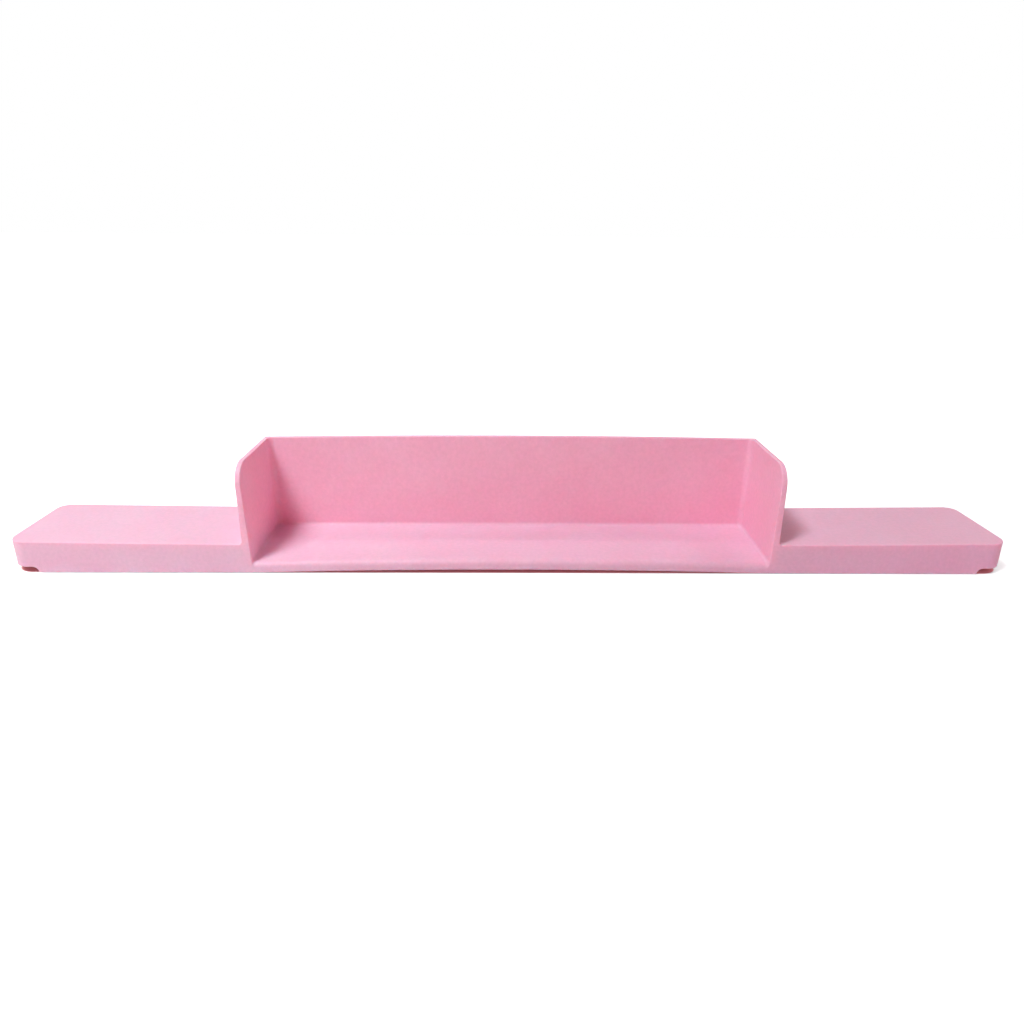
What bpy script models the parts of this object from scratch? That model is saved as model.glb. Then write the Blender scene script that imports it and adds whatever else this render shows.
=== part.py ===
# Bathtub tray: one open moulding that spans a bath, with a bin in the middle and a hollow wing at
# each end, and four soft strips that are pushed onto ribs under the wings.
# Metres. X runs along the tray, its open front faces -Y, and the strips rest on Z = 0.
import math

import bmesh
import bpy
from mathutils import Vector

# The whole tray
TRAY_LENGTH = 0.800  # over the ends, at the skirt's lower edge
TRAY_DEPTH = 0.0835  # front to back
END_DRAFT = 0.95  # degrees, the ends lean in towards the top
FRONT_CORNER = 0.014  # plan radius of the wings' front corners
BACK_CORNER = 0.010
EDGE_ROUND = 0.0015  # every upper edge

# Wings
WING_RISE_END = 0.0266  # from the skirt's lower edge to the wing's top, at the tray's end
WING_RISE_BIN = 0.0249  # and where the wing meets the bin
WING_FILLET = 0.002  # hollow corner between a wing and the bin's side wall
SHELL_WALL = 0.003  # skirt and top of a wing

# Relief under each end, for the fingers that lift the tray
RELIEF_LENGTH = 0.021
RELIEF_RISE = 0.0051
RELIEF_ROUND = 0.0045

# Bin
BIN_WIDTH = 0.4272  # over the side walls, where they leave the wings
BIN_RISE = 0.0901  # from the skirt's lower edge to the side walls' top
BIN_WALL = 0.0041  # at the top
BIN_DRAFT = 0.75  # degrees, each face of a side wall
BACK_DRAFT = 1.0  # degrees, the back wall's inner face
BIN_CORNER = 0.0167  # upper front corner of a side wall
BIN_FILLET = 0.005  # inside, between floor and walls
FLOOR_RISE_FRONT = 0.0085  # from the skirt's lower edge to the floor at the lip
FLOOR_RISE_BACK = 0.010
FLOOR_WALL = 0.003
LIP_ARCH = 0.0037  # the lip rises by this much at mid span
BACK_CROWN = 0.0018  # the back wall's top rises by this much at mid span

# Ribs under the floor
FLOOR_RIB_COUNT = 5
FLOOR_RIB = 0.002
FLOOR_RIB_SHORT = 0.001  # the ribs end this much above the skirt's lower edge

# Ribs under the wings
WING_RIB_COUNT = 3
WING_RIB = 0.002
WING_RIB_DEPTH = 0.012  # below the underside of the wing's top

# Soft strips, with the ribs that carry them
STRIP_STAND = 0.0005  # the strips reach this far below the skirt
STRIP_WIDTH = 0.006
STRIP_HEIGHT = 0.007
STRIP_SOLE = 0.0027  # under the carrying rib
STRIP_ROUND = 0.0008
STRIP_INSET = 0.0085  # centre line, in from the front or back face
STRIP_START = 0.016  # out from the bin's side
STRIP_END = 0.031  # in from the tray's end
STRIP_GAP = 0.0003  # all round the rib, and at its stops
CARRIER_RIB = 0.002
STOP_LENGTH = 0.004
STOP_RISE = 0.001  # the stops end this much above the skirt's lower edge
CARRIER_REST_DEPTH = 0.013  # of the carrying rib beyond its stops

# Working values
EMBED = 0.001  # how far a rib's ends reach into the walls that they join
OVERCUT = 0.010  # how far a cutter reaches past the shape that it cuts
STATIONS = 12  # lengthwise steps of the arched lip and crowned back
SHARPEST_SMOOTH = 30  # degrees, edges above this stay crisp

# Places that follow from the sizes
front = -TRAY_DEPTH / 2
back = TRAY_DEPTH / 2
skirt = STRIP_STAND
rim = skirt + BIN_RISE
halfLength = TRAY_LENGTH / 2
halfBin = BIN_WIDTH / 2


def lean(degrees, height):
    """How far a drafted face moves sideways over a height."""
    return math.tan(math.radians(degrees)) * height


def wing_top(x):
    """Height of the wing's top at a distance from the middle."""
    share = (x - halfBin) / (halfLength - halfBin)
    return skirt + WING_RISE_BIN + (WING_RISE_END - WING_RISE_BIN) * share


def end_face(z):
    return halfLength - lean(END_DRAFT, z - skirt)


def bin_outside(z):
    return halfBin - lean(BIN_DRAFT, z - wing_top(halfBin))


def bin_inside(z):
    return bin_outside(rim) - BIN_WALL - lean(BIN_DRAFT, rim - z)


def back_inside(z):
    return back - BIN_WALL - lean(BACK_DRAFT, rim - z)


floorBackEdge = back_inside(skirt + FLOOR_RISE_BACK)
pocketHalf = halfBin - BIN_WALL
archHalf = bin_inside(skirt + FLOOR_RISE_BACK)
stripStart = halfBin + STRIP_START
stripEnd = halfLength - STRIP_END
stripLine = back - STRIP_INSET


def floor_top(y):
    share = (y - front) / (floorBackEdge - front)
    return skirt + FLOOR_RISE_FRONT + (FLOOR_RISE_BACK - FLOOR_RISE_FRONT) * share


def clear_scene():
    for old in list(bpy.data.objects):
        bpy.data.objects.remove(old, do_unlink=True)


def plastic(name, colour, roughness):
    made = bpy.data.materials.new(name)
    made.use_nodes = True
    shader = made.node_tree.nodes["Principled BSDF"]
    shader.inputs["Base Color"].default_value = (*colour, 1.0)
    shader.inputs["Roughness"].default_value = roughness
    shader.inputs["Metallic"].default_value = 0.0
    made.diffuse_color = (*colour, 1.0)
    return made


def rounded_corner(before, corner, after, radius, steps):
    """Points of an arc that replaces one corner of an outline."""
    corner = Vector(corner)
    towardsBefore = (Vector(before) - corner).normalized()
    towardsAfter = (Vector(after) - corner).normalized()
    half = towardsBefore.angle(towardsAfter) / 2
    centre = corner + (towardsBefore + towardsAfter).normalized() * (radius / math.sin(half))
    first = (corner + towardsBefore * (radius / math.tan(half)) - centre).normalized()
    last = (corner + towardsAfter * (radius / math.tan(half)) - centre).normalized()
    return [tuple(centre + first.slerp(last, step / steps) * radius) for step in range(steps + 1)]


def object_from(name, shape):
    bmesh.ops.recalc_face_normals(shape, faces=shape.faces)
    mesh = bpy.data.meshes.new(name)
    shape.to_mesh(mesh)
    shape.free()
    made = bpy.data.objects.new(name, mesh)
    bpy.context.scene.collection.objects.link(made)
    return made


def prism(name, outline, start, end):
    """Extrudes an X, Z outline along Y."""
    shape = bmesh.new()
    face = shape.faces.new([shape.verts.new((x, start, z)) for x, z in outline])
    grown = bmesh.ops.extrude_face_region(shape, geom=[face])
    moved = [part for part in grown["geom"] if isinstance(part, bmesh.types.BMVert)]
    bmesh.ops.translate(shape, vec=(0, end - start, 0), verts=moved)
    return object_from(name, shape)


def block(name, lower, upper):
    """A six-sided block from four lower corners and the four above them."""
    shape = bmesh.new()
    low = [shape.verts.new(corner) for corner in lower]
    high = [shape.verts.new(corner) for corner in upper]
    shape.faces.new(low)
    shape.faces.new(high)
    for index in range(4):
        following = (index + 1) % 4
        shape.faces.new((low[index], low[following], high[following], high[index]))
    return object_from(name, shape)


def round_edges(target, chosen, radius, steps):
    """Bevels the edges that the test chooses, given their two ends."""
    shape = bmesh.new()
    shape.from_mesh(target.data)
    edges = [edge for edge in shape.edges if chosen(edge)]
    bmesh.ops.bevel(shape, geom=edges, offset=radius, offset_type="OFFSET", segments=steps,
                    profile=0.5, affect="EDGES")
    shape.to_mesh(target.data)
    shape.free()


def combine(target, tool, operation):
    """Cuts the tool out of the target or joins it on, then removes the tool."""
    change = target.modifiers.new(tool.name, "BOOLEAN")
    change.operation = operation
    change.solver = "EXACT"
    change.object = tool
    graph = bpy.context.evaluated_depsgraph_get()
    result = bpy.data.meshes.new_from_object(target.evaluated_get(graph))
    target.modifiers.remove(change)
    target.data = result
    bpy.data.objects.remove(tool, do_unlink=True)


def near(value, wanted):
    return abs(value - wanted) < 1e-5


def outer_body():
    """The tray's front outline drawn back through its depth, with its large corners rounded."""
    endLow = (halfLength, skirt)
    endHigh = (end_face(wing_top(halfLength)), wing_top(halfLength))
    wallLow = (halfBin, wing_top(halfBin))
    wallHigh = (bin_outside(rim), rim)
    right = [endLow, endHigh]
    right += rounded_corner(endHigh, wallLow, wallHigh, WING_FILLET, 3)
    right.append(wallHigh)
    left = [(-x, z) for x, z in reversed(right)]
    body = prism("tray_moulding", right + left, front, back)

    def stands_at(edge, y):
        ends = [vert.co for vert in edge.verts]
        upright = abs(ends[0].z - ends[1].z) > WING_RISE_BIN / 2
        return upright and all(near(end.y, y) and abs(end.x) > halfBin + WING_FILLET for end in ends)

    def tops_the_front(edge):
        return all(near(vert.co.y, front) and near(vert.co.z, rim) for vert in edge.verts)

    round_edges(body, lambda edge: stands_at(edge, front), FRONT_CORNER, 6)
    round_edges(body, lambda edge: stands_at(edge, back), BACK_CORNER, 5)
    round_edges(body, tops_the_front, BIN_CORNER, 7)
    return body


def bin_hollow():
    """The space inside the bin, open to the front and the top."""
    frontEdge = front - OVERCUT
    above = rim + OVERCUT
    lowFront = floor_top(frontEdge)
    lowBack = floor_top(floorBackEdge)
    lower = [(-bin_inside(lowFront), frontEdge, lowFront), (bin_inside(lowFront), frontEdge, lowFront),
             (bin_inside(lowBack), floorBackEdge, lowBack), (-bin_inside(lowBack), floorBackEdge, lowBack)]
    upper = [(-bin_inside(above), frontEdge, above), (bin_inside(above), frontEdge, above),
             (bin_inside(above), back_inside(above), above), (-bin_inside(above), back_inside(above), above)]
    hollow = block("bin_hollow", lower, upper)

    def closed_in(edge):
        centre = (edge.verts[0].co + edge.verts[1].co) / 2
        return centre.z < above - OVERCUT / 2 and centre.y > frontEdge + OVERCUT / 2

    round_edges(hollow, closed_in, BIN_FILLET, 4)
    return hollow


def round_upper_edges(body):
    """Eases every outward edge above the skirt's lower edge."""
    def sharp_and_high(edge):
        low = min(vert.co.z for vert in edge.verts)
        return low > skirt + SHELL_WALL and math.degrees(edge.calc_face_angle_signed()) > 50

    round_edges(body, sharp_and_high, EDGE_ROUND, 3)


def wing_pocket(side):
    """The hollow under one wing."""
    below = skirt - OVERCUT
    ceilingIn = wing_top(halfBin) - SHELL_WALL
    ceilingOut = wing_top(halfLength) - SHELL_WALL
    outline = [(halfBin, below), (halfBin, ceilingIn), (end_face(ceilingOut) - SHELL_WALL, ceilingOut),
               (end_face(below) - SHELL_WALL, below)]
    pocket = prism("wing_pocket", [(side * x, z) for x, z in outline], front + SHELL_WALL, back - SHELL_WALL)

    def end_corner(edge, y):
        ends = [vert.co for vert in edge.verts]
        upright = abs(ends[0].z - ends[1].z) > OVERCUT
        return upright and all(near(end.y, y) and abs(end.x) > stripEnd for end in ends)

    round_edges(pocket, lambda edge: end_corner(edge, front + SHELL_WALL), FRONT_CORNER - SHELL_WALL, 6)
    round_edges(pocket, lambda edge: end_corner(edge, back - SHELL_WALL), BACK_CORNER - SHELL_WALL, 5)
    return pocket


def sloped_block(name, x0, x1, y0, y1, bottom, rise):
    """A block under the floor: its top follows the floor's underside, raised by rise."""
    topFront = floor_top(y0) - FLOOR_WALL + rise
    topBack = floor_top(y1) - FLOOR_WALL + rise
    lower = [(x0, y0, bottom), (x1, y0, bottom), (x1, y1, bottom), (x0, y1, bottom)]
    upper = [(x0, y0, topFront), (x1, y0, topFront), (x1, y1, topBack), (x0, y1, topBack)]
    return block(name, lower, upper)


def add_floor_underside(body):
    """Hollows the floor from below and leaves ribs there."""
    y0 = front + SHELL_WALL
    y1 = back - BIN_WALL
    combine(body, sloped_block("floor_pocket", -pocketHalf, pocketHalf, y0, y1, skirt - OVERCUT, 0), "DIFFERENCE")
    ribBottom = skirt + FLOOR_RIB_SHORT
    spacing = 2 * pocketHalf / (FLOOR_RIB_COUNT + 1)
    for index in range(FLOOR_RIB_COUNT):
        x = (index + 1) * spacing - pocketHalf
        rib = sloped_block("floor_rib", x - FLOOR_RIB / 2, x + FLOOR_RIB / 2, y0 - EMBED, y1 + EMBED,
                           ribBottom, EMBED)
        combine(body, rib, "UNION")
    spine = sloped_block("floor_spine", -pocketHalf - EMBED, pocketHalf + EMBED, -FLOOR_RIB / 2, FLOOR_RIB / 2,
                         ribBottom, EMBED)
    combine(body, spine, "UNION")


def carrier_rib(side, y):
    """The long rib that holds a strip, with a stop at each end of the strip."""
    carrying = STRIP_SOLE + STRIP_GAP
    stopLow = skirt + STOP_RISE
    inner = halfBin - EMBED
    outer = end_face(wing_top(halfLength)) - SHELL_WALL + EMBED
    stopIn = stripStart - STRIP_GAP
    stopOut = stripEnd + STRIP_GAP
    restIn = wing_top(halfBin) - SHELL_WALL - CARRIER_REST_DEPTH
    restOut = wing_top(halfLength) - SHELL_WALL - CARRIER_REST_DEPTH
    outline = [(inner, restIn), (stopIn - STOP_LENGTH, restIn), (stopIn - STOP_LENGTH, stopLow), (stopIn, stopLow),
               (stopIn, carrying), (stopOut, carrying), (stopOut, stopLow), (stopOut + STOP_LENGTH, stopLow),
               (stopOut + STOP_LENGTH, restOut), (outer, restOut),
               (outer, wing_top(outer) - SHELL_WALL + EMBED), (inner, wing_top(inner) - SHELL_WALL + EMBED)]
    mirrored = [(side * x, z) for x, z in outline]
    return prism("carrier_rib", mirrored, y - CARRIER_RIB / 2, y + CARRIER_RIB / 2)


def cross_rib(side, x):
    """A rib from the front skirt to the back skirt, under the wing's top."""
    x0 = x - WING_RIB / 2
    x1 = x + WING_RIB / 2
    bottom = wing_top(x) - SHELL_WALL - WING_RIB_DEPTH
    outline = [(x0, bottom), (x1, bottom), (x1, wing_top(x1) - SHELL_WALL + EMBED),
               (x0, wing_top(x0) - SHELL_WALL + EMBED)]
    mirrored = [(side * along, z) for along, z in outline]
    return prism("cross_rib", mirrored, front + SHELL_WALL - EMBED, back - SHELL_WALL + EMBED)


def end_relief(side):
    """What is cut away under one end and round its two corners."""
    inner = halfLength - RELIEF_LENGTH
    outer = halfLength + OVERCUT
    below = skirt - OVERCUT
    top = skirt + RELIEF_RISE
    outline = [(inner, below)]
    outline += rounded_corner((inner, below), (inner, top), (outer, top), RELIEF_ROUND, 5)
    outline += [(outer, top), (outer, below)]
    return prism("end_relief", [(side * x, z) for x, z in outline], front - OVERCUT, back + OVERCUT)


def arch_lip_and_back(body):
    """Lifts the middle of the lip and of the back wall's top along a shallow curve."""
    shape = bmesh.new()
    shape.from_mesh(body.data)
    for index in range(STATIONS + 1):
        x = archHalf * (2 * index / STATIONS - 1)
        everything = list(shape.verts) + list(shape.edges) + list(shape.faces)
        bmesh.ops.bisect_plane(shape, geom=everything, dist=1e-7, plane_co=(x, 0, 0), plane_no=(1, 0, 0))
    for vert in shape.verts:
        along = max(0.0, 1 - (vert.co.x / archHalf) ** 2)
        forward = min(1.0, max(0.0, (floorBackEdge - vert.co.y) / (floorBackEdge - front)))
        upward = max(0.0, (vert.co.z - floor_top(floorBackEdge)) / (rim - floor_top(floorBackEdge)))
        vert.co.z += along * (LIP_ARCH * forward + BACK_CROWN * upward)
    shape.to_mesh(body.data)
    shape.free()


def finish(piece, parent, look):
    piece.data.materials.clear()
    piece.data.materials.append(look)
    piece.data.shade_smooth()
    piece.data.set_sharp_from_angle(angle=math.radians(SHARPEST_SMOOTH))
    piece.parent = parent


def tray_moulding():
    body = outer_body()
    combine(body, bin_hollow(), "DIFFERENCE")
    round_upper_edges(body)
    add_floor_underside(body)
    spacing = (end_face(skirt) - SHELL_WALL - halfBin) / (WING_RIB_COUNT + 1)
    for side in (-1, 1):
        combine(body, wing_pocket(side), "DIFFERENCE")
        for y in (-stripLine, stripLine):
            combine(body, carrier_rib(side, y), "UNION")
        for index in range(WING_RIB_COUNT):
            combine(body, cross_rib(side, halfBin + (index + 1) * spacing), "UNION")
        combine(body, end_relief(side), "DIFFERENCE")
    arch_lip_and_back(body)
    return body


def non_slip_strip(name, x, y):
    """A soft channel: its slot grips the rib, and its sole meets the bath's rim."""
    half = STRIP_WIDTH / 2
    slot = CARRIER_RIB / 2 + STRIP_GAP
    length = stripEnd - stripStart
    outline = rounded_corner((-half, STRIP_HEIGHT), (-half, 0), (half, 0), STRIP_ROUND, 3)
    outline += rounded_corner((-half, 0), (half, 0), (half, STRIP_HEIGHT), STRIP_ROUND, 3)
    outline += [(half, STRIP_HEIGHT), (slot, STRIP_HEIGHT), (slot, STRIP_SOLE), (-slot, STRIP_SOLE),
                (-slot, STRIP_HEIGHT), (-half, STRIP_HEIGHT)]
    strip = prism(name, outline, -length / 2, length / 2)
    strip.rotation_euler.z = math.pi / 2
    strip.location = (x, y, 0)
    return strip


clear_scene()
pink = plastic("pink_plastic", (0.87, 0.38, 0.52), 0.45)
softPink = plastic("soft_pink", (0.67, 0.26, 0.35), 0.75)
tray = bpy.data.objects.new("bathtub_tray", None)
bpy.context.scene.collection.objects.link(tray)
finish(tray_moulding(), tray, pink)
stripMiddle = (stripStart + stripEnd) / 2
for sideName, side in (("left", -1), ("right", 1)):
    for faceName, face in (("front", -1), ("back", 1)):
        strip = non_slip_strip(f"non_slip_strip_{sideName}_{faceName}", side * stripMiddle, face * stripLine)
        finish(strip, tray, softPink)
bpy.context.view_layer.update()
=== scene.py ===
import math

import bmesh
import bpy
from mathutils import Matrix, Vector


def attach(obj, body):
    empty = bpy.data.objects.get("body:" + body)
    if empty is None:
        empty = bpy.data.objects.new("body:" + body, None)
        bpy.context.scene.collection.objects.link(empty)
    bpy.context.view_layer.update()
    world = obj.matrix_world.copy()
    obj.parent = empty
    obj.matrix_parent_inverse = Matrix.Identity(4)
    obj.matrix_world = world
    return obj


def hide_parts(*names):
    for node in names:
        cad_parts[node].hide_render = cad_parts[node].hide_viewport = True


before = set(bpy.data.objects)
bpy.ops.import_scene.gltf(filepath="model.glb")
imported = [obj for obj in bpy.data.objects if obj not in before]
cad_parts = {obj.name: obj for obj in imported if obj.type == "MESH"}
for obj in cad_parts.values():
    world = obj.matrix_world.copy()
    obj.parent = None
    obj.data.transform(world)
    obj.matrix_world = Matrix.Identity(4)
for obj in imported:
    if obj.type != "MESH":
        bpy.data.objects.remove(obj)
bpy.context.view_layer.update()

tiny = 1e-5
weld = 1e-6  # points nearer than this become one
mostly = 0.9  # cosines, for a face that looks mostly or squarely one way
squarely = 0.99
white = (1.0, 1.0, 1.0)

# What a user would change about the moulding
tray = {
    "length": 0.800,
    "depth": 0.0835,
    "stand": 0.0005,  # the strips hold the skirt this far up
    "endDraft": 0.95,  # degrees
    "frontCorner": 0.014,
    "backCorner": 0.010,
    "wingRiseEnd": 0.0266,
    "wingRiseBin": 0.0249,
    "wingFillet": 0.003,
    "shellWall": 0.003,
    "reliefLength": 0.0222,
    "reliefRise": 0.0051,
    "reliefRound": 0.0045,
    "binWidth": 0.4272,
    "binRise": 0.0901,
    "binWall": 0.0041,
    "binDraft": 0.75,  # degrees
    "backDraft": 1.0,
    "binCorner": 0.0167,
    "binFillet": 0.005,
    "floorFillet": 0.0028,
    "floorRiseFront": 0.0085,
    "floorRiseBack": 0.010,
    "floorWall": 0.003,
    "lipArch": 0.0030,
    "backCrown": 0.0018,
    "edgeRound": 0.0009,
    "lipRound": 0.0045,
    "skirtRound": 0.0012,
}

front = -tray["depth"] / 2
back = tray["depth"] / 2
skirt = tray["stand"]
rim = skirt + tray["binRise"]
halfLength = tray["length"] / 2
halfBin = tray["binWidth"] / 2
overcut = 0.010  # how far a cutter reaches past the shape that it cuts
endZone = 0.02  # an upright edge this near the tray's end belongs to its corner

# How many flat steps make up each round
steps = {
    "frontCorner": 12,
    "backCorner": 10,
    "wingFillet": 6,
    "binCorner": 14,
    "skirtRound": 4,
    "binFillet": 10,
    "floorFillet": 7,
    "edgeRound": 6,
    "reliefRound": 8,
    "cellRound": 4,
    "wingCell": 8,
    "ribEase": 2,
    "stripRound": 3,
    "pinMark": 32,
}


def lean(degrees, height):
    return math.tan(math.radians(degrees)) * height


def wingTop(x):
    share = (x - halfBin) / (halfLength - halfBin)
    return skirt + tray["wingRiseBin"] + (tray["wingRiseEnd"] - tray["wingRiseBin"]) * share


def endFace(z):
    return halfLength - lean(tray["endDraft"], z - skirt)


def binOutside(z):
    return halfBin - lean(tray["binDraft"], z - wingTop(halfBin))


def binInside(z):
    return binOutside(rim) - tray["binWall"] - lean(tray["binDraft"], rim - z)


def backInside(z):
    return back - tray["binWall"] - lean(tray["backDraft"], rim - z)


floorBackEdge = backInside(skirt + tray["floorRiseBack"])


def floorTop(y):
    share = (y - front) / (floorBackEdge - front)
    return skirt + tray["floorRiseFront"] + (tray["floorRiseBack"] - tray["floorRiseFront"]) * share


pocketEnd = halfBin - tray["binWall"]
archHalf = binInside(floorTop(floorBackEdge))


# Picking and shaping, as by hand
def dropSelection():
    if bpy.context.mode != "OBJECT":
        bpy.ops.object.mode_set(mode="OBJECT")
    bpy.ops.object.select_all(action="DESELECT")


def takeUp(piece):
    dropSelection()
    bpy.context.view_layer.objects.active = piece
    piece.select_set(True)


def openPiece(piece):
    takeUp(piece)
    bpy.ops.object.mode_set(mode="EDIT")


def startBlock(name, low, high):
    dropSelection()
    middle = [(a + b) / 2 for a, b in zip(low, high)]
    spans = [b - a for a, b in zip(low, high)]
    bpy.ops.mesh.primitive_cube_add(size=1, location=middle, scale=spans)
    block = bpy.context.object
    block.name = name
    block.data.name = name
    bpy.ops.object.transform_apply(location=True, rotation=True, scale=True)
    openPiece(block)
    return block


def clearPicked(shape):
    for group in (shape.faces, shape.edges, shape.verts):
        for item in group:
            item.select = False


def pickVerts(piece, wanted):
    bpy.ops.mesh.select_mode(type="VERT")
    shape = bmesh.from_edit_mesh(piece.data)
    clearPicked(shape)
    for vert in shape.verts:
        if wanted(vert.co):
            vert.select_set(True)
    shape.select_flush_mode()
    bmesh.update_edit_mesh(piece.data)


def pickEdges(piece, wanted):
    bpy.ops.mesh.select_mode(type="EDGE")
    shape = bmesh.from_edit_mesh(piece.data)
    clearPicked(shape)
    for edge in shape.edges:
        if wanted(edge, edge.verts[0].co, edge.verts[1].co):
            edge.select_set(True)
    bmesh.update_edit_mesh(piece.data)


def pickFaces(piece, wanted):
    bpy.ops.mesh.select_mode(type="FACE")
    shape = bmesh.from_edit_mesh(piece.data)
    clearPicked(shape)
    for face in shape.faces:
        if wanted(face.calc_center_median(), face.normal):
            face.select_set(True)
    bmesh.update_edit_mesh(piece.data)


def moveVerts(piece, wanted, by):
    pickVerts(piece, wanted)
    bpy.ops.transform.translate(value=by)


def sliceAt(place, direction):
    bpy.ops.mesh.select_all(action="SELECT")
    bpy.ops.mesh.bisect(plane_co=place, plane_no=direction, threshold=1e-7)


def pullOut(by):
    bpy.ops.mesh.extrude_region_move(TRANSFORM_OT_translate={"value": by})


def roundPicked(radius, segments):
    bpy.ops.mesh.bevel(offset=radius, offset_type="OFFSET", segments=segments, profile=0.5,
                       affect="EDGES", clamp_overlap=False)


def applyModifier(piece, kind, **settings):
    takeUp(piece)
    bpy.ops.object.modifier_add(type=kind)
    change = piece.modifiers[-1]
    for name, value in settings.items():
        setattr(change, name, value)
    bpy.ops.object.modifier_apply(modifier=change.name)


def combine(body, tool, how):
    applyModifier(body, "BOOLEAN", operation=how, solver="EXACT", object=tool)
    bpy.data.objects.remove(tool, do_unlink=True)


def repeatAlong(piece, count, step):
    applyModifier(piece, "ARRAY", count=count, use_relative_offset=False, use_constant_offset=True,
                  constant_offset_displace=step)


def trayBody():
    # right half of the outside, from a block as high as the wing
    low = wingTop(halfBin)
    body = startBlock("pink_moulding", (0, front, skirt), (halfLength, back, low))
    sliceAt((halfBin, 0, 0), (1, 0, 0))
    pickFaces(body, lambda middle, facing: facing.z > mostly and middle.x < halfBin)
    pullOut((0, 0, rim - low))
    moveVerts(body, lambda place: place.z > rim - tiny and place.x > tiny,
              (binOutside(rim) - halfBin, 0, 0))
    high = wingTop(halfLength)
    moveVerts(body, lambda place: place.x > halfLength - tiny and place.z > skirt + tiny,
              (endFace(high) - halfLength, 0, high - low))
    level = 0.05  # degrees; faces within this of each other become one
    bpy.ops.mesh.select_all(action="SELECT")
    bpy.ops.mesh.dissolve_limited(angle_limit=math.radians(level))

    def upright(a, b, y):
        atEnd = min(a.x, b.x) > halfBin + tiny and abs(a.y - y) + abs(b.y - y) < tiny
        return atEnd and abs(a.z - b.z) > low / 2

    pickEdges(body, lambda edge, a, b: upright(a, b, front))
    roundPicked(tray["frontCorner"], steps["frontCorner"])
    pickEdges(body, lambda edge, a, b: upright(a, b, back))
    roundPicked(tray["backCorner"], steps["backCorner"])
    pickEdges(body, lambda edge, a, b: max(abs(a.x - halfBin), abs(b.x - halfBin)) < tiny
              and min(a.z, b.z) > skirt + tiny and abs(a.y - b.y) > tray["depth"] / 2)
    roundPicked(tray["wingFillet"], steps["wingFillet"])
    pickEdges(body, lambda edge, a, b: max(a.y, b.y) < front + tiny and min(a.z, b.z) > rim - tiny)
    roundPicked(tray["binCorner"], steps["binCorner"])
    pickEdges(body, lambda edge, a, b: max(a.z, b.z) < skirt + tiny and max(a.x, b.x) > tiny)
    roundPicked(tray["skirtRound"], steps["skirtRound"])
    return body


def binHollow():
    deep = front - overcut
    high = rim + overcut
    low = floorTop(floorBackEdge)
    hollow = startBlock("bin_hollow", (-overcut, deep, low),
                        (binInside(high), backInside(high), high))

    def isLow(place):
        return place.z < high - tiny

    moveVerts(hollow, lambda place: isLow(place) and place.x > tiny,
              (binInside(low) - binInside(high), 0, 0))
    moveVerts(hollow, lambda place: isLow(place) and place.y > 0,
              (0, floorBackEdge - backInside(high), 0))
    moveVerts(hollow, lambda place: isLow(place) and place.y < 0, (0, 0, floorTop(deep) - low))
    pickEdges(hollow, lambda edge, a, b: abs(a.z - b.z) > overcut
              and min(a.x, b.x) > tiny and min(a.y, b.y) > 0)
    roundPicked(tray["binFillet"], steps["binFillet"])
    pickEdges(hollow, lambda edge, a, b: max(a.z, b.z) < low + tiny and max(a.y, b.y) > deep + tiny
              and max(a.x, b.x) > tiny)
    roundPicked(tray["floorFillet"], steps["floorFillet"])
    return hollow


def easeUpperEdges(body):
    # every outward edge above the skirt is eased, the lip's more than the others
    sharp = 50  # degrees; edges that turn less are steps of a round
    openPiece(body)
    shape = bmesh.from_edit_mesh(body.data)
    layers = shape.edges.layers.float
    weights = layers.get("bevel_weight_edge") or layers.new("bevel_weight_edge")
    lipTop = floorTop(front) + tray["floorFillet"]
    ordinary = tray["edgeRound"] / tray["lipRound"]
    for edge in shape.edges:
        a, b = edge.verts[0].co, edge.verts[1].co
        high = min(a.z, b.z) > skirt + tray["shellWall"]
        onMiddle = max(a.x, b.x) < tiny
        if not high or onMiddle or not edge.is_manifold:
            continue
        if math.degrees(edge.calc_face_angle_signed()) > sharp:
            onLip = (max(a.y, b.y) < front + tiny and max(a.x, b.x) < archHalf + tiny
                     and max(a.z, b.z) < lipTop)
            drop = min(1.0, max(0.0, (lipTop - (a.z + b.z) / 2) / tray["floorFillet"]))
            edge[weights] = ordinary + (1 - ordinary) * drop if onLip else ordinary
    bmesh.update_edit_mesh(body.data)
    bpy.ops.object.mode_set(mode="OBJECT")
    applyModifier(body, "BEVEL", width=tray["lipRound"], offset_type="OFFSET",
                  segments=steps["edgeRound"], limit_method="WEIGHT",
                  use_clamp_overlap=False, loop_slide=False)


# Ribs and pockets underneath
underside = {
    "floorRibs": 5,
    "floorRib": 0.002,
    "floorRibShort": 0.001,
    "cellRound": 0.0014,
    "wingRibs": 3,
    "wingRib": 0.002,
    "wingRibDepth": 0.012,
    "wingCellRound": 0.0016,
    "ribEase": 0.0004,
    "embed": 0.001,
    "pinMark": 0.0028,  # radius of the round that an ejector pin leaves
    "pinMarkDepth": 0.0002,
    "pinReach": 0.002,
    "wingPinRow": 2.4,  # half the depth, divided by this, is how far off the middle they lie
}


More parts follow.
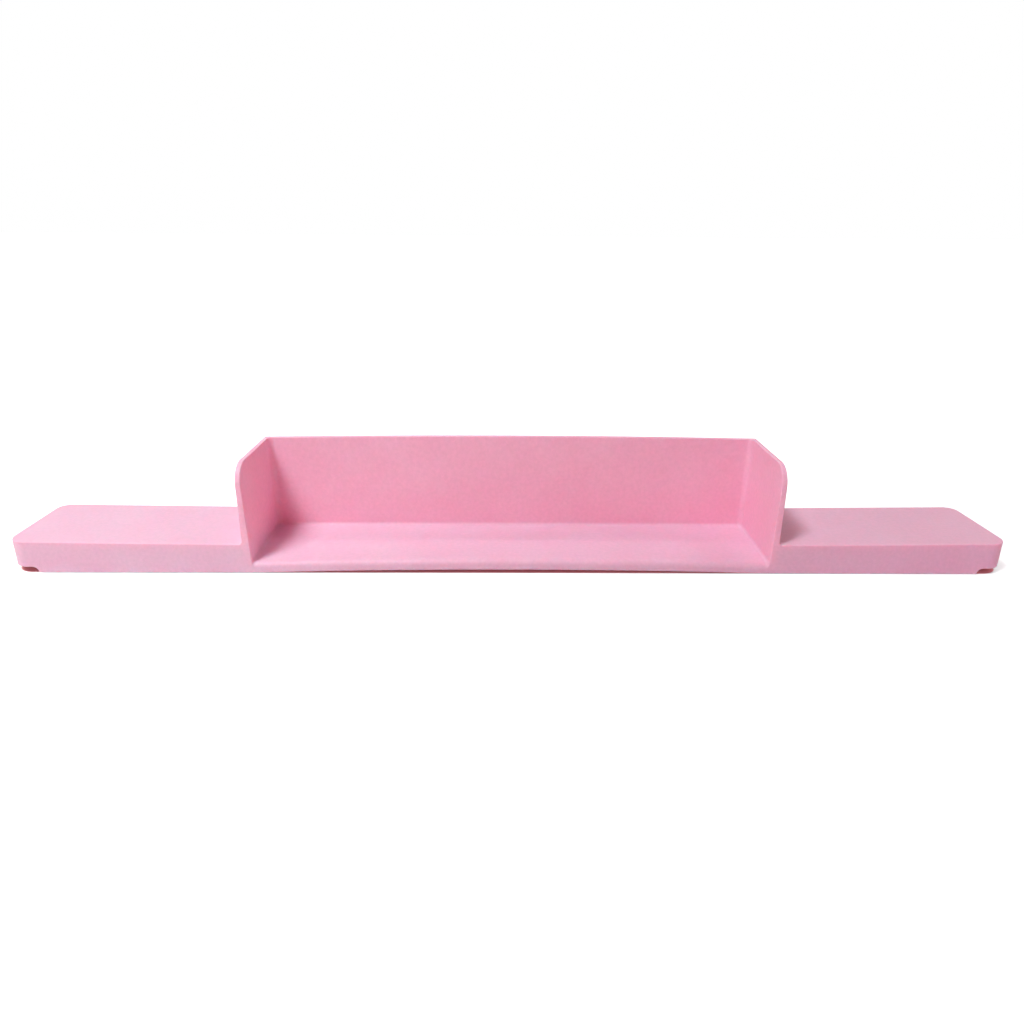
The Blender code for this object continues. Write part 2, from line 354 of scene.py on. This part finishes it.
def floorCells(body):
    # the ribs are what is left between rounded pockets
    half = underside["floorRib"] / 2
    spacing = 2 * pocketEnd / (underside["floorRibs"] + 1)
    low = skirt - overcut
    rows = ((front + tray["shellWall"], -half), (half, back - tray["binWall"]))
    slab = startBlock("rib_clearance", (-overcut, rows[0][0], low),
                      (pocketEnd, rows[1][1], skirt + underside["floorRibShort"]))
    combine(body, slab, "DIFFERENCE")
    for y0, y1 in rows:
        ceiling = floorTop(y0) - tray["floorWall"]
        cell = startBlock("floor_cell", (half, y0, low), (spacing - half, y1, ceiling))
        moveVerts(cell, lambda place: place.z > 0 and place.y > y1 - tiny,
                  (0, 0, floorTop(y1) - floorTop(y0)))
        pickEdges(cell, lambda edge, a, b: max(a.z, b.z) > 0)
        roundPicked(underside["cellRound"], steps["cellRound"])
        repeatAlong(cell, (underside["floorRibs"] + 1) // 2, (spacing, 0, 0))
        combine(body, cell, "DIFFERENCE")


def wingPocket():
    low = skirt - overcut
    wall = tray["shellWall"]
    ceilingIn = wingTop(halfBin) - wall
    ceilingOut = wingTop(halfLength) - wall
    pocket = startBlock("wing_pocket", (halfBin, front + wall, low),
                        (endFace(low) - wall, back - wall, ceilingIn))
    moveVerts(pocket, lambda place: place.z > 0 and place.x > halfBin + tiny,
              (endFace(ceilingOut) - endFace(low), 0, ceilingOut - ceilingIn))
    for y, corner in ((front + wall, tray["frontCorner"]), (back - wall, tray["backCorner"])):
        pickEdges(pocket, lambda edge, a, b: abs(a.z - b.z) > overcut
                  and min(a.x, b.x) > halfLength - endZone and abs(a.y - y) + abs(b.y - y) < tiny)
        roundPicked(corner - wall, steps["wingCell"])
    pickEdges(pocket, lambda edge, a, b: min(a.z, b.z) > ceilingIn - tiny
              or (max(a.x, b.x) < halfBin + tiny and max(a.z, b.z) > 0))
    roundPicked(underside["wingCellRound"], steps["cellRound"])
    return pocket


# Soft strips under the wings, and the ribs that carry them
strip = {
    "width": 0.006,
    "height": 0.007,
    "sole": 0.0027,
    "round": 0.0008,
    "inset": 0.0085,
    "start": 0.016,
    "end": 0.031,
    "gap": 0.0003,
    "carrier": 0.002,
    "stopLength": 0.004,
    "stopRise": 0.001,
    "restDepth": 0.013,
    "grooves": 34,  # across each sole
    "grooveWidth": 0.0012,
    "grooveDepth": 0.0004,
}
stripStart = halfBin + strip["start"]
stripEnd = halfLength - strip["end"]
stripLine = back - strip["inset"]


def carrierRibs():
    half = strip["carrier"] / 2
    y = -stripLine
    topIn = wingTop(halfBin) - tray["shellWall"]
    outer = endFace(wingTop(halfLength)) - tray["shellWall"] + underside["embed"]
    inner = halfBin - underside["embed"]
    rise = wingTop(halfLength) - wingTop(halfBin)
    rib = startBlock("carrier_ribs", (inner, y - half, topIn - strip["restDepth"]),
                     (outer, y + half, topIn + underside["embed"]))
    moveVerts(rib, lambda place: place.x > halfLength / 2 + halfBin / 2, (0, 0, rise))
    stopIn = stripStart - strip["gap"]
    stopOut = stripEnd + strip["gap"]
    for x in (stopIn - strip["stopLength"], stopIn, stopOut, stopOut + strip["stopLength"]):
        sliceAt((x, 0, 0), (1, 0, 0))
    # the stretch that the strip grips, then its two stops
    for x0, x1, low in ((stopIn, stopOut, strip["sole"] + strip["gap"]),
                        (stopIn - strip["stopLength"], stopIn, skirt + strip["stopRise"]),
                        (stopOut, stopOut + strip["stopLength"], skirt + strip["stopRise"])):
        pickFaces(rib, lambda middle, facing: facing.z < -mostly and x0 < middle.x < x1)
        pullOut((0, 0, -strip["carrier"]))
        bpy.ops.transform.resize(value=(1, 1, 0), center_override=(0, 0, low))
    repeatAlong(rib, 2, (0, 2 * stripLine, 0))
    return rib


def crossRibs():
    spacing = (endFace(skirt) - tray["shellWall"] - halfBin) / (underside["wingRibs"] + 1)
    half = underside["wingRib"] / 2
    x = halfBin + spacing
    ceiling = wingTop(x) - tray["shellWall"]
    embed = underside["embed"]
    low = ceiling - underside["wingRibDepth"]
    rib = startBlock("cross_ribs", (x - half, front + tray["shellWall"] - embed, low),
                     (x + half, back - tray["shellWall"] + embed, ceiling + embed))
    pickEdges(rib, lambda edge, a, b: max(a.z, b.z) < ceiling - embed and abs(a.y - b.y) > tiny)
    roundPicked(underside["ribEase"], steps["ribEase"])
    repeatAlong(rib, underside["wingRibs"], (spacing, 0, wingTop(x + spacing) - wingTop(x)))
    return rib


def pinMarks(body):
    # shallow rounds left by ejector pins: one in each floor pocket and two in each wing pocket
    def markRow(x, y, ceiling, count, step):
        dropSelection()
        reach = underside["pinReach"]
        bpy.ops.mesh.primitive_cylinder_add(
            vertices=steps["pinMark"], radius=underside["pinMark"], depth=reach,
            location=(x, y, ceiling + underside["pinMarkDepth"] - reach / 2))
        mark = bpy.context.object
        bpy.ops.object.transform_apply(location=True, rotation=True, scale=True)
        repeatAlong(mark, count, step)
        combine(body, mark, "DIFFERENCE")

    floorStep = 2 * pocketEnd / (underside["floorRibs"] + 1)
    for y in (front / 2, back / 2):
        markRow(floorStep / 2, y, floorTop(y) - tray["floorWall"],
                (underside["floorRibs"] + 1) // 2, (floorStep, 0, 0))
    wingStep = (endFace(skirt) - tray["shellWall"] - halfBin) / (underside["wingRibs"] + 1)
    x = halfBin + wingStep / 2
    rise = wingTop(x + wingStep) - wingTop(x)
    for y in (front / underside["wingPinRow"], back / underside["wingPinRow"]):
        markRow(x, y, wingTop(x) - tray["shellWall"],
                underside["wingRibs"] + 1, (wingStep, 0, rise))


def endRelief():
    inner = halfLength - tray["reliefLength"]
    top = skirt + tray["reliefRise"]
    relief = startBlock("end_relief", (inner, front - overcut, skirt - overcut),
                        (halfLength + overcut, back + overcut, top))
    pickEdges(relief, lambda edge, a, b: max(a.x, b.x) < inner + tiny
              and min(a.z, b.z) > top - tiny)
    roundPicked(tray["reliefRound"], steps["reliefRound"])
    return relief


def closeHalves(body):
    # the cap on the middle goes, and the other half is the mirror of this one
    openPiece(body)
    pickFaces(body, lambda middle, facing: facing.x < -squarely and middle.x < tiny)
    bpy.ops.mesh.delete(type="FACE")
    bpy.ops.object.mode_set(mode="OBJECT")
    applyModifier(body, "MIRROR", use_mirror_merge=True, merge_threshold=weld)


def archLipAndBack(body):
    # a cage lifts the middle of the lip and of the back wall's top
    stations = 32
    cagePoints = 17
    openPiece(body)
    for index in range(stations + 1):
        sliceAt((archHalf * (2 * index / stations - 1), 0, 0), (1, 0, 0))
    dropSelection()
    low = floorTop(floorBackEdge)
    middle = (0, (front + floorBackEdge) / 2, (low + rim) / 2)
    bpy.ops.object.add(type="LATTICE", location=middle)
    cage = bpy.context.object
    cage.scale = (2 * archHalf, floorBackEdge - front, rim - low)
    cage.data.points_u = cagePoints
    cage.data.interpolation_type_u = "KEY_CATMULL_ROM"
    cage.data.interpolation_type_v = "KEY_LINEAR"
    cage.data.interpolation_type_w = "KEY_LINEAR"
    for point in cage.data.points:
        along = max(0.0, 1 - (2 * point.co.x) ** 2)
        lift = tray["lipArch"] * (0.5 - point.co.y) + tray["backCrown"] * (0.5 + point.co.z)
        point.co_deform.z += along * lift / (rim - low)
    bpy.context.view_layer.update()
    applyModifier(body, "LATTICE", object=cage)
    bpy.data.objects.remove(cage, do_unlink=True)


def smoothPiece(piece, degrees=32):
    takeUp(piece)
    bpy.ops.object.shade_smooth_by_angle(angle=math.radians(degrees))
    applyModifier(piece, "WEIGHTED_NORMAL", mode="FACE_AREA", weight=50, keep_sharp=True)


def makeMoulding():
    body = trayBody()
    combine(body, binHollow(), "DIFFERENCE")
    easeUpperEdges(body)
    floorCells(body)
    combine(body, wingPocket(), "DIFFERENCE")
    combine(body, carrierRibs(), "UNION")
    combine(body, crossRibs(), "UNION")
    pinMarks(body)
    combine(body, endRelief(), "DIFFERENCE")
    closeHalves(body)
    archLipAndBack(body)
    smoothPiece(body)
    return body


def makeStrip(name):
    # one pitch of the strip, with a groove across its sole, repeated along it
    length = stripEnd - stripStart
    pitch = length / strip["grooves"]
    half = strip["width"] / 2
    slot = strip["carrier"] / 2 + strip["gap"]
    piece = startBlock(name, (stripStart, -half, 0), (stripStart + pitch, half, strip["height"]))
    for y in (-slot, slot):
        sliceAt((0, y, 0), (0, 1, 0))
    pickFaces(piece, lambda middle, facing: facing.z > mostly and abs(middle.y) < slot)
    pullOut((0, 0, strip["sole"] - strip["height"]))
    pickEdges(piece, lambda edge, a, b: max(a.z, b.z) < tiny and abs(a.x - b.x) > tiny
              and abs(abs(a.y) - half) + abs(abs(b.y) - half) < tiny)
    roundPicked(strip["round"], steps["stripRound"])
    middle = stripStart + pitch / 2
    for x in (middle - strip["grooveWidth"] / 2, middle + strip["grooveWidth"] / 2):
        sliceAt((x, 0, 0), (1, 0, 0))
    slant = 0.1  # the sole and its rounded edges look down by more than this
    pickFaces(piece, lambda place, facing: facing.z < -slant
              and abs(place.x - middle) < strip["grooveWidth"] / 2)
    pullOut((0, 0, strip["grooveDepth"]))
    pickFaces(piece, lambda place, facing: abs(facing.x) > squarely
              and (place.x < stripStart + tiny or place.x > stripStart + pitch - tiny))
    bpy.ops.mesh.delete(type="FACE")
    bpy.ops.object.mode_set(mode="OBJECT")
    applyModifier(piece, "ARRAY", count=strip["grooves"], use_relative_offset=False,
                  use_constant_offset=True, constant_offset_displace=(pitch, 0, 0),
                  use_merge_vertices=True, merge_threshold=weld)
    openPiece(piece)
    for x in (stripStart, stripEnd):
        pickEdges(piece, lambda edge, a, b: edge.is_boundary
                  and abs(a.x - x) + abs(b.x - x) < 10 * tiny)
        bpy.ops.mesh.edge_face_add()
    bpy.ops.mesh.select_all(action="SELECT")
    bpy.ops.mesh.normals_make_consistent(inside=False)
    dropSelection()
    return piece


def copyStrip(first, name, side, y):
    takeUp(first)
    bpy.ops.object.duplicate(linked=False)
    made = bpy.context.object
    made.name = name
    made.data.name = name
    openPiece(made)
    bpy.ops.mesh.select_all(action="SELECT")
    if side < 0:
        bpy.ops.transform.resize(value=(-1, 1, 1), center_override=(0, 0, 0))
        bpy.ops.mesh.normals_make_consistent(inside=False)
    bpy.ops.transform.translate(value=(0, y, 0))
    dropSelection()
    smoothPiece(made)
    return made


# Finishes. Colours are linear, lengths in metres
pinkPlastic = {
    "colour": (0.940, 0.518, 0.678),
    "cloudColour": (0.954, 0.544, 0.704),
    "cloudSize": 0.045,
    "fleckSize": 0.0030,
    "fleckAmount": 0.090,
    # paler edges: partly wear, partly a painted highlight
    "edgeWearAndHighlightColour": (0.88, 0.57, 0.67),
    "edgeWearAndHighlightWidth": 0.0012,
    "edgeWearAndHighlightAmount": 0.5,
    "roughness": 0.50,
    "roughnessSpread": 0.07,
    "grainSize": 0.0009,
    "grainDepth": 0.00003,
    "specular": 0.35,
    "subsurface": 0.5,
    "subsurfaceReach": 0.015,
    "subsurfaceTint": (1.0, 0.08, 0.11),
}
softPink = {
    "colour": (0.62, 0.23, 0.32),
    "cloudColour": (0.68, 0.28, 0.37),
    "cloudSize": 0.012,
    "fleckSize": 0.0012,
    "fleckAmount": 0.06,
    # paler edges: partly wear, partly a painted highlight
    "edgeWearAndHighlightColour": (0.74, 0.38, 0.46),
    "edgeWearAndHighlightWidth": 0.0005,
    "edgeWearAndHighlightAmount": 0.7,
    "roughness": 0.78,
    "roughnessSpread": 0.10,
    "grainSize": 0.0005,
    "grainDepth": 0.00002,
    "specular": 0.25,
    "subsurface": 0.15,
    "subsurfaceReach": 0.002,
    "subsurfaceTint": (1.0, 0.35, 0.40),
}


def addNode(tree, kind, place, **settings):
    made = tree.nodes.new(kind)
    made.location = place
    for name, value in settings.items():
        setattr(made, name, value)
    return made


def mathNode(tree, operation, place, first, second=None):
    made = addNode(tree, "ShaderNodeMath", place, operation=operation)
    for index, value in enumerate((first, second)):
        if isinstance(value, (int, float)):
            made.inputs[index].default_value = value
        elif value is not None:
            tree.links.new(value, made.inputs[index])
    return made.outputs[0]


def rangeNode(tree, place, value, low, high, to=(0, 1)):
    made = addNode(tree, "ShaderNodeMapRange", place, clamp=True)
    tree.links.new(value, made.inputs["Value"])
    for name, number in (("From Min", low), ("From Max", high),
                         ("To Min", to[0]), ("To Max", to[1])):
        made.inputs[name].default_value = number
    return made.outputs["Result"]


def blend(tree, place, share, first, second):
    # each of the two is a colour or another node's output
    made = addNode(tree, "ShaderNodeMix", place, data_type="RGBA", clamp_factor=True)
    tree.links.new(share, made.inputs["Factor"])
    for socket, colour in (("A", first), ("B", second)):
        if isinstance(colour, tuple):
            made.inputs[socket].default_value = (*colour, 1)
        else:
            tree.links.new(colour, made.inputs[socket])
    return made.outputs["Result"]


# How the parts of the skin below are mixed
skinMix = {
    "cloudRange": (0.35, 0.65),  # the stretch of the noise that the clouds fill
    "edgeRange": (0.995, 0.90),  # cosine of the turn at which the edge wear and painted highlight begin and are full
    "leastEdgeWearAndHighlight": 0.45,  # share of the edge wear and painted highlight that is left in a gap between clouds
    "wearSmoothing": -0.12,  # change of roughness on a worn edge
    "edgeSamples": 6,
    "cloudNoise": (3, 0.55),  # detail and roughness
    "fleckNoise": (2, 0.6),
    "grainNoise": (3, 0.6),
    "fleckGain": 2.0,  # noise keeps near the middle of its range, so it is spread
    "roughnessGain": 4.0,
    "pitSize": 0.7,
    "grainShare": 0.65,
    "pitShare": 0.35,
}


def makeSkinGroup():
    # moulded skin: clouded colour, fine flecks, a spark-eroded grain and paler, smoother edges,
    # paler partly from wear and partly as a painted highlight
    group = bpy.data.node_groups.new("moulded skin", "ShaderNodeTree")
    for name, kind in (("Colour", "Color"), ("Cloud Colour", "Color"), ("Cloud Size", "Float"),
                       ("Fleck Size", "Float"), ("Fleck Amount", "Float"), ("Edge Wear And Highlight Colour", "Color"),
                       ("Edge Wear And Highlight Width", "Float"), ("Edge Wear And Highlight Amount", "Float"), ("Roughness", "Float"),
                       ("Roughness Spread", "Float"), ("Grain Size", "Float")):
        group.interface.new_socket(name=name, in_out="INPUT", socket_type="NodeSocket" + kind)
    for name, kind in (("Colour", "Color"), ("Roughness", "Float"), ("Height", "Float")):
        group.interface.new_socket(name=name, in_out="OUTPUT", socket_type="NodeSocket" + kind)
    given = addNode(group, "NodeGroupInput", (-1400, 0)).outputs
    result = addNode(group, "NodeGroupOutput", (900, 0)).inputs
    place = addNode(group, "ShaderNodeTexCoord", (-1400, 500)).outputs["Object"]

    def noise(where, size, kind):
        made = addNode(group, "ShaderNodeTexNoise", where)
        group.links.new(place, made.inputs["Vector"])
        group.links.new(mathNode(group, "DIVIDE", (where[0] - 180, where[1]), 1.0, size),
                        made.inputs["Scale"])
        made.inputs["Detail"].default_value, made.inputs["Roughness"].default_value = kind
        return made.outputs["Fac"]

    cloudy = noise((-900, 600), given["Cloud Size"], skinMix["cloudNoise"])
    clouds = rangeNode(group, (-700, 600), cloudy, *skinMix["cloudRange"])
    flecks = noise((-900, 300), given["Fleck Size"], skinMix["fleckNoise"])
    grain = noise((-900, 0), given["Grain Size"], skinMix["grainNoise"])
    pits = addNode(group, "ShaderNodeTexVoronoi", (-900, -300), feature="SMOOTH_F1")
    group.links.new(place, pits.inputs["Vector"])
    pitScale = mathNode(group, "DIVIDE", (-1080, -300), skinMix["pitSize"], given["Grain Size"])
    group.links.new(pitScale, pits.inputs["Scale"])

    # edges, for wear and a painted edge highlight: where the normal just around a point differs
    # from its own
    around = addNode(group, "ShaderNodeBevel", (-900, -600), samples=skinMix["edgeSamples"])
    group.links.new(given["Edge Wear And Highlight Width"], around.inputs["Radius"])
    own = addNode(group, "ShaderNodeNewGeometry", (-900, -750))
    facing = addNode(group, "ShaderNodeVectorMath", (-700, -600), operation="DOT_PRODUCT")
    group.links.new(around.outputs["Normal"], facing.inputs[0])
    group.links.new(own.outputs["Normal"], facing.inputs[1])
    edges = rangeNode(group, (-500, -600), facing.outputs["Value"], *skinMix["edgeRange"])
    patchy = rangeNode(group, (-500, -300), clouds, 0, 1, (skinMix["leastEdgeWearAndHighlight"], 1.0))
    # mask of the worn edges, which also carry a painted highlight
    wornAndHighlitEdges = mathNode(group, "MULTIPLY", (-300, -600),
                      mathNode(group, "MULTIPLY", (-400, -600), edges, patchy), given["Edge Wear And Highlight Amount"])

    clouded = blend(group, (-300, 500), clouds, given["Colour"], given["Cloud Colour"])
    lightness = mathNode(group, "ADD", (-300, 200), 1.0, mathNode(
        group, "MULTIPLY", (-450, 200), mathNode(group, "SUBTRACT", (-600, 200), flecks, 0.5),
        mathNode(group, "MULTIPLY", (-600, 100), given["Fleck Amount"], skinMix["fleckGain"])))
    flecked = addNode(group, "ShaderNodeVectorMath", (-100, 400), operation="SCALE")
    group.links.new(clouded, flecked.inputs["Vector"])
    group.links.new(lightness, flecked.inputs["Scale"])
    # paler edge colour: wear and a painted highlight
    coloured = blend(group, (300, 300), wornAndHighlitEdges, flecked.outputs["Vector"], given["Edge Wear And Highlight Colour"])
    group.links.new(coloured, result["Colour"])

    offMiddle = mathNode(group, "SUBTRACT", (-150, 0), flecks, 0.5)
    spread = mathNode(group, "MULTIPLY", (-150, -100), given["Roughness Spread"],
                      skinMix["roughnessGain"])
    uneven = mathNode(group, "MULTIPLY", (0, 0), offMiddle, spread)
    worn = mathNode(group, "MULTIPLY", (150, -200), wornAndHighlitEdges, skinMix["wearSmoothing"])
    rough = mathNode(group, "ADD", (300, 0), given["Roughness"], uneven)
    group.links.new(mathNode(group, "ADD", (450, 0), rough, worn), result["Roughness"])
    flattened = mathNode(group, "SUBTRACT", (150, -400), 1.0, wornAndHighlitEdges)
    grained = mathNode(group, "MULTIPLY", (0, -500), grain, skinMix["grainShare"])
    pitted = mathNode(group, "MULTIPLY", (0, -650), pits.outputs["Distance"], skinMix["pitShare"])
    texture = mathNode(group, "ADD", (150, -550), grained, pitted)
    group.links.new(mathNode(group, "MULTIPLY", (450, -450), texture, flattened), result["Height"])
    return group


def makeLook(name, finish, skin):
    made = bpy.data.materials.new(name)
    made.use_nodes = True
    made.diffuse_color = (*finish["colour"], 1)
    tree = made.node_tree
    shader = tree.nodes["Principled BSDF"]
    surface = addNode(tree, "ShaderNodeGroup", (-500, 200), node_tree=skin)
    for socket, key in (("Colour", "colour"), ("Cloud Colour", "cloudColour"),
                        ("Cloud Size", "cloudSize"), ("Fleck Size", "fleckSize"),
                        ("Fleck Amount", "fleckAmount"), ("Edge Wear And Highlight Colour", "edgeWearAndHighlightColour"),
                        ("Edge Wear And Highlight Width", "edgeWearAndHighlightWidth"), ("Edge Wear And Highlight Amount", "edgeWearAndHighlightAmount"),
                        ("Roughness", "roughness"), ("Roughness Spread", "roughnessSpread"),
                        ("Grain Size", "grainSize")):
        value = finish[key]
        surface.inputs[socket].default_value = (*value, 1) if isinstance(value, tuple) else value
    relief = addNode(tree, "ShaderNodeBump", (-250, -200))
    relief.inputs["Distance"].default_value = finish["grainDepth"]
    tree.links.new(surface.outputs["Height"], relief.inputs["Height"])
    tree.links.new(surface.outputs["Colour"], shader.inputs["Base Color"])
    tree.links.new(surface.outputs["Roughness"], shader.inputs["Roughness"])
    tree.links.new(relief.outputs["Normal"], shader.inputs["Normal"])
    shader.inputs["Specular IOR Level"].default_value = finish["specular"]
    shader.inputs["Subsurface Weight"].default_value = finish["subsurface"]
    shader.inputs["Subsurface Scale"].default_value = finish["subsurfaceReach"]
    shader.inputs["Subsurface Radius"].default_value = finish["subsurfaceTint"]
    return made


# A floor that reads as white round the tray and keeps its shadow. Below the tray it is painted pink
# and given a painted glow, stronger near its edge, for the light that comes through the pink
# plastic
stage = {
    "size": 24,
    "drop": 0.0001,  # just below the strips' soles
    "colour": (0.90, 0.90, 0.90),
    "roughness": 0.9,
    "specular": 0.2,
    # painted light under the tray: a pink floor colour, a glow, and a stronger glow near the edge
    "paintedBounceColour": (0.90, 0.42, 0.45),
    "paintedBounceGlow": (0.050, 0.002, 0.003),
    "paintedRimGlow": (0.16, 0.065, 0.070),  # where light comes in under the edge
    "rimReach": 0.009,
    "underTrim": 0.0021,  # the tinted part stops this far inside the tray's front and back
    "underSpread": 0.0009,  # and goes this far past its ends
    "underCorner": 0.0165,
    "underEdge": 0.0006,
    "nearLift": (0.46, 0.59, 0.58),  # less red, as the light that reaches a shadow is reddish
    "farStart": 0.05,
    "farEnd": 0.35,
}


def seenDirectly(tree, place):
    # 1 for what the camera, a reflection or a clear body sees, 0 for light that falls on the tray
    path = addNode(tree, "ShaderNodeLightPath", place)
    either = mathNode(tree, "MAXIMUM", (place[0] + 200, place[1]), path.outputs["Is Camera Ray"],
                      path.outputs["Is Glossy Ray"])
    return mathNode(tree, "MAXIMUM", (place[0] + 400, place[1]), either,
                    path.outputs["Is Transmission Ray"])


def makeStage():
    dropSelection()
    bpy.ops.mesh.primitive_plane_add(size=stage["size"], location=(0, 0, -stage["drop"]))
    floor = bpy.context.object
    floor.name = "studio_floor"
    look = bpy.data.materials.new("studio white")
    look.use_nodes = True
    tree = look.node_tree
    shader = tree.nodes["Principled BSDF"]
    shader.inputs["Roughness"].default_value = stage["roughness"]
    shader.inputs["Specular IOR Level"].default_value = stage["specular"]
    # distance out from the tinted part's outline, which has rounded corners
    corner = stage["underCorner"]
    reach = (halfLength + stage["underSpread"] - corner, back - stage["underTrim"] - corner, 0)
    folded = addNode(tree, "ShaderNodeVectorMath", (-1900, 0), operation="ABSOLUTE")
    place = addNode(tree, "ShaderNodeTexCoord", (-2100, 0))
    tree.links.new(place.outputs["Object"], folded.inputs[0])
    over = addNode(tree, "ShaderNodeVectorMath", (-1700, 0), operation="SUBTRACT")
    tree.links.new(folded.outputs["Vector"], over.inputs[0])
    over.inputs[1].default_value = reach
    beyond = addNode(tree, "ShaderNodeVectorMath", (-1500, 150), operation="MAXIMUM")
    tree.links.new(over.outputs["Vector"], beyond.inputs[0])
    radial = addNode(tree, "ShaderNodeVectorMath", (-1300, 150), operation="LENGTH")
    tree.links.new(beyond.outputs["Vector"], radial.inputs[0])
    parts = addNode(tree, "ShaderNodeSeparateXYZ", (-1500, -50))
    tree.links.new(over.outputs["Vector"], parts.inputs[0])
    larger = mathNode(tree, "MAXIMUM", (-1300, -50), parts.outputs["X"], parts.outputs["Y"])
    inner = mathNode(tree, "MINIMUM", (-1150, -50), larger, 0.0)
    total = mathNode(tree, "ADD", (-1000, 50), radial.outputs["Value"], inner)
    away = mathNode(tree, "SUBTRACT", (-900, 0), total, corner)
    outside = rangeNode(tree, (-800, 300), away, -stage["underEdge"], stage["underEdge"])
    far = rangeNode(tree, (-800, -150), away, stage["farStart"], stage["farEnd"])
    lift = blend(tree, (-400, 0), far, stage["nearLift"], white)
    # painted glow under the tray, stronger near its edge, over the painted pink floor colour
    nearRim = rangeNode(tree, (-800, -350), away, -stage["rimReach"], 0)
    paintedGlow = blend(tree, (-400, -350), nearRim, stage["paintedBounceGlow"], stage["paintedRimGlow"])
    tree.links.new(blend(tree, (-200, 200), outside, stage["paintedBounceColour"], stage["colour"]),
                   shader.inputs["Base Color"])
    tree.links.new(blend(tree, (-200, -100), outside, paintedGlow, lift), shader.inputs["Emission Color"])
    tree.links.new(seenDirectly(tree, (-1000, -400)), shader.inputs["Emission Strength"])
    floor.data.materials.append(look)


camera = {
    "place": (-0.007569, -0.580106, 0.266438),
    "down": 21.555,  # degrees below level
    "turn": 0.79,
    "roll": -0.461,
    "lens": 26.09,
    "sensor": 36,
    "nearest": 0.01,
}


def makeCamera():
    turned = (Matrix.Rotation(math.radians(-camera["turn"]), 4, "Z")
              @ Matrix.Rotation(math.radians(90 - camera["down"]), 4, "X")
              @ Matrix.Rotation(math.radians(-camera["roll"]), 4, "Z"))
    dropSelection()
    bpy.ops.object.camera_add(location=camera["place"], rotation=turned.to_euler())
    made = bpy.context.object
    made.name = "photo_camera"
    made.data.lens = camera["lens"]
    made.data.sensor_width = camera["sensor"]
    made.data.clip_start = camera["nearest"]
    bpy.context.scene.camera = made


# Lamps: where they aim, the way to them from there, how far off they are and how large. A lamp of
# strength 1 shows a surface that faces it in about its own colour. A tint stands for light that
# comes back from things around
lights = {
    "key": {"kind": "AREA", "aim": (0, 0, 0.03), "way": (-0.400, -0.435, 1), "away": 1.9,
            "size": 0.42, "strength": 0.65, "tint": white},
    "left_pool": {"kind": "SPOT", "aim": (-0.42, 0, 0.03), "way": (-0.40, -0.42, 1), "away": 3.0,
                  "size": 0.36, "strength": 0.23, "tint": (0.95, 1.14, 1.06), "cone": 18},
    "back": {"kind": "AREA", "aim": (0, 0, 0.03), "way": (-0.25, 0.46, 1), "away": 3.0,
             "size": 0.20, "strength": 0.07, "tint": white},
    "right_fill": {"kind": "AREA", "aim": (0, 0, 0.03), "way": (0.8, 0.45, 1), "away": 3.0,
                   "size": 0.6, "strength": 0.09, "tint": white},
    "right_front": {"kind": "SPOT", "aim": (0.44, 0, 0.02), "way": (0.25, -1, 0.30), "away": 3.0,
                    "size": 0.3, "strength": 0.10, "tint": (1.0, 0.30, 0.70), "cone": 12},
}
surround = (0.242, 0.086, 0.087)  # the light from all round, which pink plastic has warmed


def makeLights():
    for name, lamp in lights.items():
        dropSelection()
        aim = Vector(lamp["aim"])
        way = Vector(lamp["way"]).normalized()
        bpy.ops.object.light_add(type=lamp["kind"], location=aim + way * lamp["away"])
        made = bpy.context.object
        made.name = name + "_lamp"
        made.rotation_euler = (-way).to_track_quat("-Z", "Y").to_euler()
        made.data.color = lamp["tint"]
        level = lamp["strength"] * (math.pi * lamp["away"]) ** 2
        if lamp["kind"] == "SPOT":
            made.data.energy = 4 * level  # a spot's power counts as if it went all round
            made.data.shadow_soft_size = lamp["size"] / 2
            made.data.spot_size = math.radians(lamp["cone"])
            made.data.spot_blend = 1
        else:
            made.data.energy = level
            made.data.shape = "DISK"
            made.data.size = lamp["size"]
    world = bpy.data.worlds.new("studio")
    world.use_nodes = True
    tree = world.node_tree
    background = tree.nodes["Background"]
    tree.links.new(blend(tree, (-300, 0), seenDirectly(tree, (-900, 0)), surround, white),
                   background.inputs["Color"])
    bpy.context.scene.world = world


makeCamera()
makeStage()
makeLights()
bpy.context.scene.view_settings.view_transform = "Standard"
print("camera, floor and lights are set")

skin = makeSkinGroup()
pink = makeLook("pink plastic", pinkPlastic, skin)
soft = makeLook("soft pink", softPink, skin)
print("finishes are mixed")

moulding = makeMoulding()
moulding.data.materials.append(pink)
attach(moulding, "root")
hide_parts("tray_moulding")
print("moulding:", len(moulding.data.polygons), "faces")

firstStrip = makeStrip("strip_blank")
for sideName, side in (("left", -1), ("right", 1)):
    for faceName, face in (("front", -1), ("back", 1)):
        made = copyStrip(firstStrip, f"grip_strip_{sideName}_{faceName}", side, face * stripLine)
        made.data.materials.append(soft)
        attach(made, "root")
        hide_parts(f"non_slip_strip_{sideName}_{faceName}")
bpy.data.objects.remove(firstStrip, do_unlink=True)
print("strips are placed")
